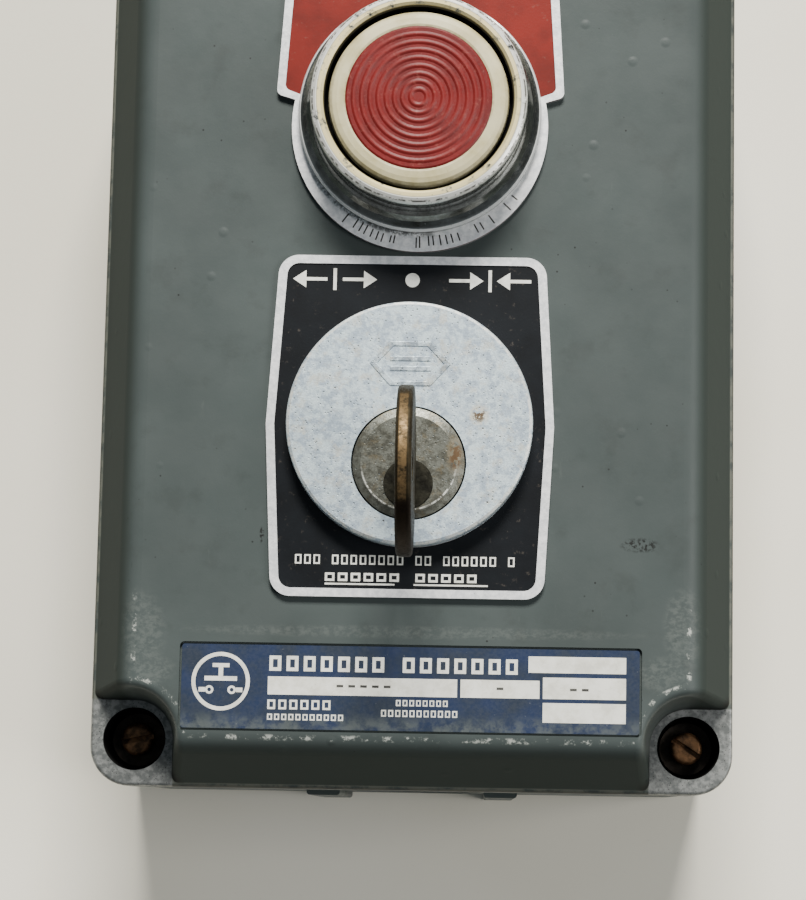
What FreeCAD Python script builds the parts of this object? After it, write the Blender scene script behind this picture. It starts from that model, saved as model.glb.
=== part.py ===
"""Key-operated push-button control station in a two-part cast enclosure.

Frame: millimetres, origin at the centre of the back face, +X right, +Y up the wall, +Z out of the
front. The stop button sits above the key switch. One STEP file is written per node.
"""
import FreeCAD
import Part
import math
import os

V = FreeCAD.Vector

# enclosure
BOX_W = 116.8
BOX_H = 178.0
CORNER_R = 7.2
BASE_TOP = 50.0
BASE_INSET = 0.3
BACK_T = 4.0
WALL_T = 3.0
GASKET_T = 1.0
LIP_BOTTOM = BASE_TOP + GASKET_T
LUG_Z = 60.8
FRONT_Z = 73.0
SIDE_SLOPE = 6.5
SIDE_ROUND = 5.0
PAN_INSET = 0.6
PANEL_T = 3.0
PANEL_BACK = FRONT_Z - PANEL_T
LUG_X = 50.35
LUG_Y = 80.46
NOTCH_R = 7.0
NOTCH_DRAFT = 2.0
NOTCH_ROUND = 1.6
POST_REACH = 11.5
LUG_BORE_R = 5.7
LUG_FLOOR = 53.5
SCREW_R = 2.0
SCREW_HOLE_R = 2.05
SCREW_CLEAR_R = 2.3
PAD_X = 16.5
PAD_W = 6.2
PAD_OUT = 0.9
MOUNT_X = 38.0
MOUNT_Y = 60.0
MOUNT_HOLE_R = 3.0
CONDUIT_R = 13.3
CONDUIT_Z = 25.0
CONDUIT_LEN = 10.0
UPPER_HOLE_R = 10.2

# operator positions
STOP_X = -0.1
LOCK_X = -0.9
STOP_Y = 33.0
OP_PITCH = 57.15
LOCK_Y = STOP_Y - OP_PITCH
PLATE_T = 1.0
PLATE_BORDER = 1.5
PLATE_ETCH = 0.2
PLATE_TOP = FRONT_Z + PLATE_T

# nameplate
NAME_Y = -71.25
NAME_W = 81.3
NAME_H = 14.9
NAME_T = 0.5
RECESS_DEEP = 0.7
RECESS_GAP = 0.4

# stop operator
STOP_HOLE_R = 15.45
BUSH_R = 15.2
BUSH_TOP = 79.5
BUSH_BOTTOM = 50.0
BUSH_FLOOR = 54.0
BUSH_FLANGE_R = 19.0
BUSH_FLANGE_Z = 60.0
SEAL_T = 0.8
SEAL_BACK = PANEL_BACK - SEAL_T
GUIDE_R = 11.45
STEM_R = 6.05
STEM_HOLE_R = 6.1
STEM_BOTTOM = 47.0
CAP_R = 16.1
CAP_BOTTOM = 82.9
SKIRT_R = 11.4
SKIRT_IN_R = 10.0
SKIRT_BOTTOM = 70.0
WEB_BOTTOM = 80.0
POCKET_Z = 83.8
INSERT_R = 13.05
INSERT_TOP = 85.45
RIDGE_H = 0.18
RIDGE_PITCH = 1.45
RIDGES = 8
RING_THREAD_R = 15.25
RING_BORE_R = 16.75
RING_LEDGE = 79.4
STOP_TRAVEL = 3.0

# stop contact block
BLOCK_X = 21.0
BLOCK_Y = 13.0
BLOCK_BOTTOM = 24.0
WELL_X = 8.5
WELL_Y = 4.5
WELL_BOTTOM = 27.0
WELL_TOP = 46.0
WING_X = 28.0
WING_Y = 6.0
CONTACT_Z = 38.3
CONTACT_T = 1.2
CONTACT_Y = 2.0
CONTACT_IN = 4.5
CONTACT_OUT = 27.0
TERMINAL_X = 24.5
TERMINAL_R = 1.4
TERMINAL_HEAD_R = 2.2
CARRIER_R = 3.5
CARRIER_BOTTOM = 33.0
BRIDGE_Z = 37.0
BRIDGE_T = 1.0
BRIDGE_X = 7.5
BRIDGE_Y = 1.6
BLOCK_SCREW_Y = 10.0
BLOCK_SCREW_R = 1.5

# lock
LOCK_HOLE_R = 18.2
CASING_R = 18.0
CASING_BOTTOM = 60.0
ROSE_R = 22.0
ROSE_TOP = 77.5
ROSE_GAP = 0.25
CYL_OFF = -7.26
CYL_R = 9.95
CYL_BORE_R = 10.0
CYL_FACE_R = 8.5
CYL_TOP = 77.9
CYL_BOTTOM = 56.0
PLUG_OFF = -11.05
PLUG_Y = LOCK_Y + PLUG_OFF
PLUG_R = 4.35
PLUG_BORE_R = 4.40
PLUG_TOP = 78.1
TAIL_R = 3.0
TAIL_BOTTOM = 52.8
KEYWAY_W = 2.3
KEYWAY_H = 7.0
KEYWAY_BOTTOM = 58.5
PIN_R = 1.2
CHAMBER_R = 1.3
PIN_Z = 61.0
PIN_PITCH = 3.4
PINS = 5
CHAMBER_END = 12.6
LOCK_NUT_R = 22.5
LOCK_NUT_Z = 64.5
KEY_T = 2.0
KEY_BLADE_H = 6.2
KEY_TIP = 60.0
KEY_SHOULDER = 78.5
BOW_T = 2.8
BOW_R = 14.7
BOW_Z = 94.0

# cam, slide and key contact block
CAM_R = 8.0
CAM_BOTTOM = 50.0
CRANK_R = 5.5
CRANK_PIN_R = 1.4
CRANK_BOTTOM = 43.5
SLOT_GAP = 0.3
SLIDE_X = 13.5
SLIDE_Z = 43.3
SLIDE_T = 3.0
SLIDE_Y0 = -10.5
SLIDE_Y1 = 0.5
RAIL_X = 13.0
RAIL_W = 1.6
TURN = math.radians(45.0)
KEY_BLOCK_X = 30.0
KEY_BLOCK_Y0 = -16.5
KEY_BLOCK_Y1 = 16.0
KEY_BLOCK_BOTTOM = 22.0
KEY_BLOCK_TOP = 43.0
KEY_CONTACT_X = 19.2
KEY_CONTACT_PITCH = 6.0
POST_X = 14.0
POST_Y = -4.0
POST_R = 2.5

CORNERS = [(sx, sy) for sx in (-1, 1) for sy in (-1, 1)]


def cyl(radius, z0, z1, x, y):
    """Upright round solid from z0 to z1."""
    return Part.makeCylinder(radius, z1 - z0, V(x, y, z0))


def ring(outer, inner, z0, z1, x, y):
    """Upright tube."""
    return cyl(outer, z0, z1, x, y).cut(cyl(inner, z0 - 1, z1 + 1, x, y))


def block(x0, x1, y0, y1, z0, z1):
    """Box between two corners."""
    return Part.makeBox(x1 - x0, y1 - y0, z1 - z0, V(x0, y0, z0))


def outline(points, z):
    """Closed wire through flat points at height z."""
    loop = [V(x, y, z) for x, y in points]
    return Part.makePolygon(loop + loop[:1])


def prism(points, z0, z1):
    """Straight solid over a flat outline."""
    return Part.Face(outline(points, z0)).extrude(V(0, 0, z1 - z0))


def round_corners(shape, radius, wanted=lambda x, y: True):
    """Rounds the upright edges at the chosen places."""
    edges = []
    for edge in shape.Edges:
        a, b = edge.Vertexes[0].Point, edge.Vertexes[-1].Point
        upright = abs(a.x - b.x) < 1e-6 and abs(a.y - b.y) < 1e-6
        if upright and abs(a.z - b.z) > 1e-6 and wanted(a.x, a.y):
            edges.append(edge)
    return shape.makeFillet(radius, edges)


def rounded_box(w, h, radius, z0, z1, x=0.0, y=0.0):
    """Upright box with round corners, centred on x, y."""
    plain = block(x - w / 2, x + w / 2, y - h / 2, y + h / 2, z0, z1)
    return round_corners(plain, radius)


def revolved(points, x, y):
    """Solid of revolution about an upright axis from radius and height pairs."""
    loop = [V(r, 0, z) for r, z in points]
    face = Part.Face(Part.makePolygon(loop + loop[:1]))
    solid = face.revolve(V(0, 0, 0), V(0, 0, 1), 360)
    solid.translate(V(x, y, 0))
    return solid


def coil(radius, wire, z0, z1, turns, x, y):
    """Compression spring between two heights."""
    rise = z1 - z0 - wire
    path = Part.makeHelix(rise / turns, rise, radius)
    start = Part.Wire(Part.makeCircle(wire / 2, V(radius, 0, 0), V(0, 1, 0)))
    spring = Part.Wire(path).makePipeShell([start], True, True)
    spring.translate(V(x, y, z0 + wire / 2))
    return spring


def fuse(shapes):
    """One solid from several."""
    whole = shapes[0]
    for other in shapes[1:]:
        whole = whole.fuse(other)
    return whole.removeSplitter()


def corner_posts(reach, z0, z1):
    """Solid corners that carry the cover screws, rounded towards the inside."""
    posts = []
    for sx, sy in CORNERS:
        x0, y0 = LUG_X - reach, LUG_Y - reach
        xs = sorted((sx * x0, sx * BOX_W / 2))
        ys = sorted((sy * y0, sy * BOX_H / 2))
        post = block(xs[0], xs[1], ys[0], ys[1], z0, z1)
        inner = lambda x, y: abs(abs(x) - x0) < 0.01 and abs(abs(y) - y0) < 0.01
        posts.append(round_corners(post, reach - 3.0, inner))
    return posts


def cavity(wall, reach, z0, z1):
    """Inner space of the enclosure between the walls and the four screw posts."""
    space = rounded_box(BOX_W - 2 * wall, BOX_H - 2 * wall, 4.0, z0, z1)
    for post in corner_posts(reach, z0 - 1, z1 + 1):
        space = space.cut(post)
    return space


def hub_bore(sy):
    """Bore radius of the lower hub (-1) and of the plugged upper one (1)."""
    return CONDUIT_R if sy < 0 else UPPER_HOLE_R


def base_housing():
    """Back half of the enclosure with wall holes, conduit hubs and cast pads."""
    body = rounded_box(BOX_W - 2 * BASE_INSET, BOX_H - 2 * BASE_INSET, CORNER_R, 0, BASE_TOP)
    body = body.cut(cavity(WALL_T + BASE_INSET, POST_REACH - 1.5, BACK_T, BASE_TOP + 1))
    half = BOX_H / 2
    extras = []
    for sy in (-1, 1):
        extras.append(Part.makeCylinder(hub_bore(sy) + 3.2, CONDUIT_LEN - BASE_INSET,
                                        V(0, sy * (half - BASE_INSET), CONDUIT_Z), V(0, -sy, 0)))
        for sx in (-1, 1):
            ys = sorted((sy * (half - 2), sy * (half + PAD_OUT)))
            extras.append(rounded_box(PAD_W, ys[1] - ys[0], 0.6, 0, BASE_TOP - 2,
                                      sx * PAD_X, sum(ys) / 2))
    extras.append(cyl(4.5, BACK_T, 12, 34, -38))
    body = fuse([body] + extras)
    for sy in (-1, 1):
        body = body.cut(Part.makeCylinder(hub_bore(sy), 30, V(0, sy * (half + 5), CONDUIT_Z), V(0, -sy, 0)))
    for sx, sy in CORNERS:
        body = body.cut(cyl(MOUNT_HOLE_R, -1, BACK_T + 1, sx * MOUNT_X, sy * MOUNT_Y))
        body = body.cut(cyl(SCREW_HOLE_R, 33, BASE_TOP + 1, sx * LUG_X, sy * LUG_Y))
    return body.cut(cyl(SCREW_HOLE_R, 6, 13, 34, -38))


def cover_pan():
    """Raised front of the cover: sloping sides and four cut-away corners."""
    w, h = BOX_W - 2 * PAN_INSET, BOX_H - 2 * PAN_INSET
    low = [(-w / 2, -h / 2), (w / 2, -h / 2), (w / 2, h / 2), (-w / 2, h / 2)]
    scale_x, scale_y = 1 - 2 * SIDE_SLOPE / w, 1 - 2 * SIDE_SLOPE / h
    high = [(x * scale_x, y * scale_y) for x, y in low]
    pan = Part.makeLoft([outline(low, LUG_Z), outline(high, FRONT_Z)], True, True)
    for sx, sy in CORNERS:
        pan = pan.cut(notch(sx, sy))
    pan = pan.makeFillet(SIDE_ROUND, front_edges(pan, straight_side))
    return pan.makeFillet(NOTCH_ROUND, front_edges(pan, notch_arc))


def front_edges(pan, wanted):
    """Edges of the front face whose middle point is wanted."""
    found = []
    for edge in pan.Edges:
        mid = edge.valueAt((edge.FirstParameter + edge.LastParameter) / 2)
        if wanted(mid) and all(abs(v.Z - FRONT_Z) < 1e-6 for v in edge.Vertexes):
            found.append(edge)
    return found


def straight_side(mid):
    """Whether a point of the front face is on its long or short outer edge."""
    half_w, half_h = BOX_W / 2 - PAN_INSET, BOX_H / 2 - PAN_INSET
    return abs(mid.x) > half_w - SIDE_SLOPE - 0.01 or abs(mid.y) > half_h - SIDE_SLOPE - 0.01


def notch_arc(mid):
    """Whether a point of the front face is on the round inner edge of a cut-away corner."""
    reach = NOTCH_R + NOTCH_DRAFT + 0.5
    return abs(mid.x) > LUG_X - reach and abs(mid.y) > LUG_Y - reach


def notch(sx, sy):
    """Cutter for one corner, drafted, with a round inner corner about the screw."""
    wires = []
    for z, reach in ((LUG_Z, NOTCH_R), (FRONT_Z + 3, NOTCH_R + NOTCH_DRAFT * 1.25)):
        far = 40.0
        a = V(LUG_X - reach, LUG_Y + far, z)
        b = V(LUG_X - reach, LUG_Y, z)
        mid = V(LUG_X - reach * math.sqrt(0.5), LUG_Y - reach * math.sqrt(0.5), z)
        c = V(LUG_X, LUG_Y - reach, z)
        d = V(LUG_X + far, LUG_Y - reach, z)
        e = V(LUG_X + far, LUG_Y + far, z)
        edges = [Part.makeLine(a, b), Part.Arc(b, mid, c).toShape(), Part.makeLine(c, d),
                 Part.makeLine(d, e), Part.makeLine(e, a)]
        wires.append(Part.Wire(edges))
    cutter = Part.makeLoft(wires, True, True)
    if sx < 0:
        cutter = cutter.mirror(V(0, 0, 0), V(1, 0, 0))
    if sy < 0:
        cutter = cutter.mirror(V(0, 0, 0), V(0, 1, 0))
    return cutter


def cover():
    """Front half of the enclosure with operator holes, nameplate recess and screw lugs."""
    lip = rounded_box(BOX_W, BOX_H, CORNER_R, LIP_BOTTOM, LUG_Z)
    rim = [e for e in lip.Edges if all(abs(v.Z - LUG_Z) < 1e-6 for v in e.Vertexes)]
    body = fuse([lip.makeFillet(0.7, rim), cover_pan()])
    body = body.cut(cavity(WALL_T, POST_REACH, LIP_BOTTOM - 1, LUG_Z))
    deep = PANEL_BACK - LUG_Z
    w, h = BOX_W - 8.6, BOX_H - 8.6
    low = [(-w / 2, -h / 2), (w / 2, -h / 2), (w / 2, h / 2), (-w / 2, h / 2)]
    high = [(x * (1 - deep / w), y * (1 - deep / h)) for x, y in low]
    space = Part.makeLoft([outline(low, LUG_Z - 0.01), outline(high, PANEL_BACK)], True, True)
    for post in corner_posts(POST_REACH, LUG_Z - 1, FRONT_Z):
        space = space.cut(post)
    body = body.cut(space)
    body = body.cut(cyl(STOP_HOLE_R, LUG_Z, FRONT_Z + 1, STOP_X, STOP_Y))
    body = body.cut(cyl(LOCK_HOLE_R, LUG_Z, FRONT_Z + 1, LOCK_X, LOCK_Y))
    body = body.cut(rounded_box(NAME_W + 2 * RECESS_GAP, NAME_H + 2 * RECESS_GAP, 0.8,
                                FRONT_Z - RECESS_DEEP, FRONT_Z + 1, 0, NAME_Y))
    for sx, sy in CORNERS:
        body = body.cut(cyl(LUG_BORE_R, LUG_FLOOR, LUG_Z + 1, sx * LUG_X, sy * LUG_Y))
        body = body.cut(cyl(SCREW_CLEAR_R, LIP_BOTTOM - 1, LUG_FLOOR + 1, sx * LUG_X, sy * LUG_Y))
    return body


def cover_gasket():
    """Flat seal between base and cover."""
    sheet = rounded_box(BOX_W - 1.4, BOX_H - 1.4, CORNER_R - 0.7, BASE_TOP, LIP_BOTTOM)
    sheet = sheet.cut(cavity(WALL_T + 0.2, POST_REACH - 1.5, BASE_TOP - 1, LIP_BOTTOM + 1))
    for sx, sy in CORNERS:
        sheet = sheet.cut(cyl(SCREW_CLEAR_R, BASE_TOP - 1, LIP_BOTTOM + 1, sx * LUG_X, sy * LUG_Y))
    return sheet


def slotted_screw(head_r, head_h, shank_r, head_z, tip_z, x, y, angle=0.0):
    """Round-headed screw; the head's bearing face is at head_z and it points to tip_z."""
    out = 1.0 if head_z > tip_z else -1.0
    low, high = sorted((head_z, head_z + out * head_h))
    head = cyl(head_r, low, high, x, y)
    top = [e for e in head.Edges if abs(e.CenterOfMass.z - (head_z + out * head_h)) < 1e-6]
    head = head.makeFillet(min(head_h, head_r) * 0.3, top)
    z0, z1 = sorted((head_z, tip_z))
    slot_z = sorted((head_z + out * head_h * 0.45, head_z + out * (head_h + 1)))
    slot = block(-head_r * 1.2, head_r * 1.2, -head_r * 0.16, head_r * 0.16, *slot_z)
    slot.rotate(V(0, 0, 0), V(0, 0, 1), angle)
    slot.translate(V(x, y, 0))
    return fuse([head, cyl(shank_r, z0, z1, x, y)]).cut(slot)


def cover_screws():
    """Four fillister screws deep in the cover lugs."""
    turn = (12, 57, -33, 80)
    return Part.makeCompound([
        slotted_screw(2.95, 2.9, SCREW_R, LUG_FLOOR + 0.8, 35.0, sx * LUG_X, sy * LUG_Y, a)
        for (sx, sy), a in zip(CORNERS, turn)])


def cover_washers():
    """Flat washers under the cover screws."""
    return Part.makeCompound([ring(4.8, 2.2, LUG_FLOOR, LUG_FLOOR + 0.8, sx * LUG_X, sy * LUG_Y)
                              for sx, sy in CORNERS])


def conduit_plug():
    """Screwed plug that closes the upper conduit hub."""
    half = BOX_H / 2
    plug = Part.makeCylinder(UPPER_HOLE_R - 0.05, CONDUIT_LEN - 1, V(0, half - BASE_INSET, CONDUIT_Z),
                             V(0, -1, 0))
    edges = [e for e in plug.Edges if e.CenterOfMass.y < half - 5]
    plug = plug.makeChamfer(1.0, edges)
    socket = block(-5, 5, half - 5, half + 1, CONDUIT_Z - 5, CONDUIT_Z + 5)
    return plug.cut(socket)


def ground_screw():
    """Earthing screw and its clamping washer on the boss in the back wall."""
    washer = ring(4.2, SCREW_R + 0.1, 12.0, 12.9, 34, -38)
    return Part.makeCompound([slotted_screw(3.6, 2.4, SCREW_R, 12.9, 7.0, 34, -38, 30), washer])


def nameplate():
    """Thin printed plate in the recess below the key switch."""
    low = FRONT_Z - RECESS_DEEP
    return rounded_box(NAME_W, NAME_H, 0.5, low, low + NAME_T, 0, NAME_Y)


def stop_plate_body(inset, z0, z1):
    """Outline of the stop legend: wide upper field on a round lower lobe."""
    top, side_y, lobe_y, rim = 36.0, 3.7, 1.5, 0.7 * inset
    points = [(-26.2 + inset, side_y + rim), (-19.0, lobe_y + rim), (19.0, lobe_y + rim),
              (26.2 - inset, side_y + rim), (24.2 - inset, top - inset), (-24.2 + inset, top - inset)]
    field = round_corners(prism([(x + STOP_X, y + STOP_Y) for x, y in points], z0, z1),
                          max(0.4, 3.5 - inset), lambda x, y: y > STOP_Y + 20)
    field = round_corners(field, 1.2, lambda x, y: y < STOP_Y + 10)
    lobe = cyl(23.3 - inset, z0, z1, STOP_X, STOP_Y - 2.05)
    return fuse([field, lobe])


def stop_legend_plate():
    """Enamelled legend plate with a raised border, clamped under the ring nut."""
    body = stop_plate_body(0.0, FRONT_Z, PLATE_TOP)
    etched = stop_plate_body(PLATE_BORDER, PLATE_TOP - PLATE_ETCH, PLATE_TOP + 1)
    upper = block(STOP_X - 30, STOP_X + 30, STOP_Y + 3, STOP_Y + 40, FRONT_Z, PLATE_TOP + 2)
    body = body.cut(etched.common(upper))
    return body.cut(cyl(STOP_HOLE_R, FRONT_Z - 1, PLATE_TOP + 1, STOP_X, STOP_Y))


def key_plate_body(inset, z0, z1):
    """Six-sided legend outline with round corners, widest at mid height."""
    points = [(-24.3, -30.95), (24.3, -30.95), (25.84, 0), (24.0, 30.95), (-24.0, 30.95), (-25.84, 0)]
    shifted = [(x - math.copysign(inset, x) + LOCK_X, y - (math.copysign(inset, y) if y else 0) + LOCK_Y)
               for x, y in points]
    return round_corners(prism(shifted, z0, z1), 3.7 - inset, lambda x, y: abs(y - LOCK_Y) > 10)


def key_legend_plate():
    """Legend plate with a raised border under the lock rose."""
    body = key_plate_body(0.0, FRONT_Z, PLATE_TOP)
    body = body.cut(key_plate_body(PLATE_BORDER, PLATE_TOP - PLATE_ETCH, PLATE_TOP + 1))
    seat = cyl(ROSE_R, FRONT_Z, PLATE_TOP, LOCK_X, LOCK_Y)
    return fuse([body, seat]).cut(cyl(LOCK_HOLE_R, FRONT_Z - 1, PLATE_TOP + 1, LOCK_X, LOCK_Y))


def ring_nut():
    """Bell-shaped ring nut that guards the button."""
    profile = [(RING_THREAD_R, PLATE_TOP), (21.9, PLATE_TOP), (22.05, 74.6), (22.05, 75.6), (21.8, 76.1),
               (21.3, 76.2), (20.5, 76.9), (19.8, 78.0), (19.35, 79.5), (19.1, 81.2), (19.1, 82.8),
               (19.35, 83.9), (19.4, 84.7), (19.1, 85.35), (18.4, 85.75), (17.5, 85.75), (17.0, 85.4),
               (RING_BORE_R, 84.9), (RING_BORE_R, RING_LEDGE), (RING_THREAD_R, RING_LEDGE)]
    return revolved(profile, STOP_X, STOP_Y)


def stop_bushing():
    """Threaded body of the stop operator, pushed in from behind the panel."""
    body = fuse([cyl(BUSH_R, BUSH_BOTTOM, BUSH_TOP, STOP_X, STOP_Y),
                 cyl(BUSH_FLANGE_R, BUSH_FLANGE_Z, SEAL_BACK, STOP_X, STOP_Y)])
    body = body.cut(cyl(GUIDE_R, BUSH_FLOOR, BUSH_TOP + 1, STOP_X, STOP_Y))
    body = body.cut(cyl(STEM_HOLE_R, BUSH_BOTTOM - 1, BUSH_FLOOR + 1, STOP_X, STOP_Y))
    for sy in (-1, 1):
        body = body.cut(cyl(BLOCK_SCREW_R + 0.05, BUSH_BOTTOM - 1, BUSH_FLOOR - 0.5,
                            STOP_X, STOP_Y + sy * BLOCK_SCREW_Y))
    return body


def panel_seal(outer, inner, x, y):
    """Rubber ring between an operator and the back of the panel."""
    return ring(outer, inner, SEAL_BACK, PANEL_BACK, x, y)


def button_shell():
    """Ivory button cap with its guide skirt."""
    profile = [(0, WEB_BOTTOM), (SKIRT_IN_R, WEB_BOTTOM), (SKIRT_IN_R, SKIRT_BOTTOM),
               (SKIRT_R, SKIRT_BOTTOM), (SKIRT_R, CAP_BOTTOM), (CAP_R - 0.2, CAP_BOTTOM), (CAP_R, 83.1),
               (CAP_R, 83.9), (15.9, 84.5), (15.4, 84.95), (14.6, 85.25), (13.5, 85.4), (13.1, 85.3),
               (INSERT_R + 0.05, 85.1), (INSERT_R + 0.05, POCKET_Z), (0, POCKET_Z)]
    return revolved(profile, STOP_X, STOP_Y)


def button_insert():
    """Coloured disc with concentric ridges, set in the cap."""
    profile = [(0, POCKET_Z), (INSERT_R, POCKET_Z), (INSERT_R, INSERT_TOP - 0.15)]
    profile.append((INSERT_R - 0.3, INSERT_TOP))
    for k in range(RIDGES, 0, -1):
        r = k * RIDGE_PITCH
        profile += [(r + 0.5, INSERT_TOP), (r + 0.1, INSERT_TOP + RIDGE_H),
                    (r - 0.1, INSERT_TOP + RIDGE_H), (r - 0.5, INSERT_TOP)]
    profile.append((0, INSERT_TOP))
    return revolved(profile, STOP_X, STOP_Y)


def button_stem():
    """Rod that carries the push through the bushing to the contacts."""
    stem = cyl(STEM_R, STEM_BOTTOM, WEB_BOTTOM, STOP_X, STOP_Y)
    ends = [e for e in stem.Edges if abs(e.CenterOfMass.z - STEM_BOTTOM) < 1e-6]
    return stem.makeChamfer(0.8, ends)


def stop_return_spring():
    """Coil that lifts the button."""
    return coil(8.1, 1.0, BUSH_FLOOR, WEB_BOTTOM, 7, STOP_X, STOP_Y)


def stop_block():
    """Moulded contact block under the stop operator."""
    body = rounded_box(2 * BLOCK_X, 2 * BLOCK_Y, 2.0, BLOCK_BOTTOM, BUSH_BOTTOM, STOP_X, STOP_Y)
    body = fuse([body, rounded_box(2 * WING_X, 2 * WING_Y, 1.0, 30.0, CONTACT_Z, STOP_X, STOP_Y)])
    body = body.cut(block(STOP_X - WELL_X, STOP_X + WELL_X, STOP_Y - WELL_Y, STOP_Y + WELL_Y,
                          WELL_BOTTOM, WELL_TOP))
    body = body.cut(cyl(STEM_R + 0.5, STEM_BOTTOM - STOP_TRAVEL - 0.5, BUSH_BOTTOM + 1, STOP_X, STOP_Y))
    for sx in (-1, 1):
        xs = sorted((STOP_X + sx * (WELL_X - 1), STOP_X + sx * (BLOCK_X + 1)))
        body = body.cut(block(xs[0], xs[1], STOP_Y - CONTACT_Y, STOP_Y + CONTACT_Y,
                              CONTACT_Z, CONTACT_Z + CONTACT_T))
        body = body.cut(cyl(TERMINAL_R + 0.05, 32.0, CONTACT_Z + 1, STOP_X + sx * TERMINAL_X, STOP_Y))
        body = body.cut(cyl(BLOCK_SCREW_R + 0.05, BLOCK_BOTTOM - 1, BUSH_BOTTOM + 1,
                            STOP_X, STOP_Y + sx * BLOCK_SCREW_Y))
    return body


def stop_fixed_contacts():
    """Pair of fixed contact bars with their tips in the block's well."""
    bars = []
    for sx in (-1, 1):
        xs = sorted((STOP_X + sx * CONTACT_IN, STOP_X + sx * CONTACT_OUT))
        bar = block(xs[0], xs[1], STOP_Y - CONTACT_Y, STOP_Y + CONTACT_Y, CONTACT_Z, CONTACT_Z + CONTACT_T)
        bars.append(bar.cut(cyl(TERMINAL_R + 0.05, CONTACT_Z - 1, CONTACT_Z + 3,
                                STOP_X + sx * TERMINAL_X, STOP_Y)))
    return Part.makeCompound(bars)


def stop_terminal_screws():
    """Wire clamping screws of the stop contacts."""
    return Part.makeCompound([
        slotted_screw(TERMINAL_HEAD_R, 1.8, TERMINAL_R, CONTACT_Z + CONTACT_T, 33.0,
                      STOP_X + sx * TERMINAL_X, STOP_Y, 20 * sx) for sx in (-1, 1)])


def stop_block_screws():
    """Long screws that hold the contact block to the bushing."""
    return Part.makeCompound([
        slotted_screw(2.6, 1.8, BLOCK_SCREW_R, BLOCK_BOTTOM, BUSH_FLOOR - 1.0,
                      STOP_X, STOP_Y + sy * BLOCK_SCREW_Y, 35 * sy) for sy in (-1, 1)])


def bridge_bar(grow):
    """Cross bar of the moving contact."""
    return block(STOP_X - BRIDGE_X, STOP_X + BRIDGE_X, STOP_Y - BRIDGE_Y - grow, STOP_Y + BRIDGE_Y + grow,
                 BRIDGE_Z - grow, BRIDGE_Z + BRIDGE_T + grow)


def contact_carrier():
    """Plunger that holds the moving contact below the stem."""
    return cyl(CARRIER_R, CARRIER_BOTTOM, STEM_BOTTOM, STOP_X, STOP_Y).cut(bridge_bar(0.0))


def contact_spring():
    """Small coil under the contact plunger."""
    return coil(2.0, 0.5, WELL_BOTTOM, CARRIER_BOTTOM, 5, STOP_X, STOP_Y)


def lock_rose():
    """Round rose with a narrow bevel around the offset lock face."""
    profile = [(0, PLATE_TOP), (21.7, PLATE_TOP), (ROSE_R, 74.4), (ROSE_R, 76.8), (21.85, 77.2),
               (21.4, ROSE_TOP), (0, ROSE_TOP)]
    rose = revolved(profile, LOCK_X, LOCK_Y)
    return rose.cut(cyl(CYL_BORE_R + ROSE_GAP, PLATE_TOP - 1, ROSE_TOP + 1, LOCK_X, LOCK_Y + CYL_OFF))


def lock_casing():
    """Threaded sleeve that carries the cylinder through the panel."""
    body = cyl(CASING_R, CASING_BOTTOM, PLATE_TOP, LOCK_X, LOCK_Y)
    body = body.cut(cyl(CYL_BORE_R, CASING_BOTTOM - 1, PLATE_TOP + 1, LOCK_X, LOCK_Y + CYL_OFF))
    for sx in (-1, 1):
        body = body.cut(cyl(1.55, CASING_BOTTOM - 1, CASING_BOTTOM + 8, LOCK_X + sx * POST_X, LOCK_Y + POST_Y))
    return body


def lock_nut():
    """Ring nut that clamps the casing behind the panel, with four spanner slots."""
    nut = ring(LOCK_NUT_R, CASING_R + 0.05, LOCK_NUT_Z, SEAL_BACK, LOCK_X, LOCK_Y)
    for k in range(4):
        slot = block(LOCK_NUT_R - 1.6, LOCK_NUT_R + 2, -2, 2, LOCK_NUT_Z - 1, SEAL_BACK + 1)
        slot.rotate(V(0, 0, 0), V(0, 0, 1), 45 + 90 * k)
        slot.translate(V(LOCK_X, LOCK_Y, 0))
        nut = nut.cut(slot)
    return nut


def pin_heights():
    """Heights of the pin chambers along the key."""
    return [PIN_Z + PIN_PITCH * k for k in range(PINS)]


def cross_pins(radius, y0, y1):
    """Row of small round solids that stand across the plug."""
    return [Part.makeCylinder(radius, y1 - y0, V(LOCK_X, PLUG_Y + y0, z), V(0, 1, 0)) for z in pin_heights()]


def lock_cylinder():
    """Lock cylinder with its plug bore and pin chambers."""
    profile = [(0, CYL_BOTTOM), (CYL_R, CYL_BOTTOM), (CYL_R, CYL_TOP - 0.5), (CYL_FACE_R, CYL_TOP), (0, CYL_TOP)]
    body = revolved(profile, LOCK_X, LOCK_Y + CYL_OFF)
    for chamber in cross_pins(CHAMBER_R, 0.0, CHAMBER_END):
        body = body.cut(chamber)
    return body.cut(cyl(PLUG_BORE_R, CYL_BOTTOM - 1, CYL_TOP + 1, LOCK_X, PLUG_Y))


def lock_plug():
    """Turning plug with the keyway and the square tail."""
    body = fuse([cyl(PLUG_R, CYL_BOTTOM, PLUG_TOP, LOCK_X, PLUG_Y), cyl(TAIL_R, TAIL_BOTTOM, CYL_BOTTOM, LOCK_X, PLUG_Y)])
    body = body.cut(block(LOCK_X - KEYWAY_W / 2, LOCK_X + KEYWAY_W / 2, PLUG_Y - KEYWAY_H / 2,
                          PLUG_Y + KEYWAY_H / 2, KEYWAY_BOTTOM, PLUG_TOP + 1))
    for chamber in cross_pins(CHAMBER_R, 2.0, 6.0):
        body = body.cut(chamber)
    return body.cut(cyl(1.25, TAIL_BOTTOM - 1, KEYWAY_BOTTOM - 1, LOCK_X, PLUG_Y))


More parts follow.
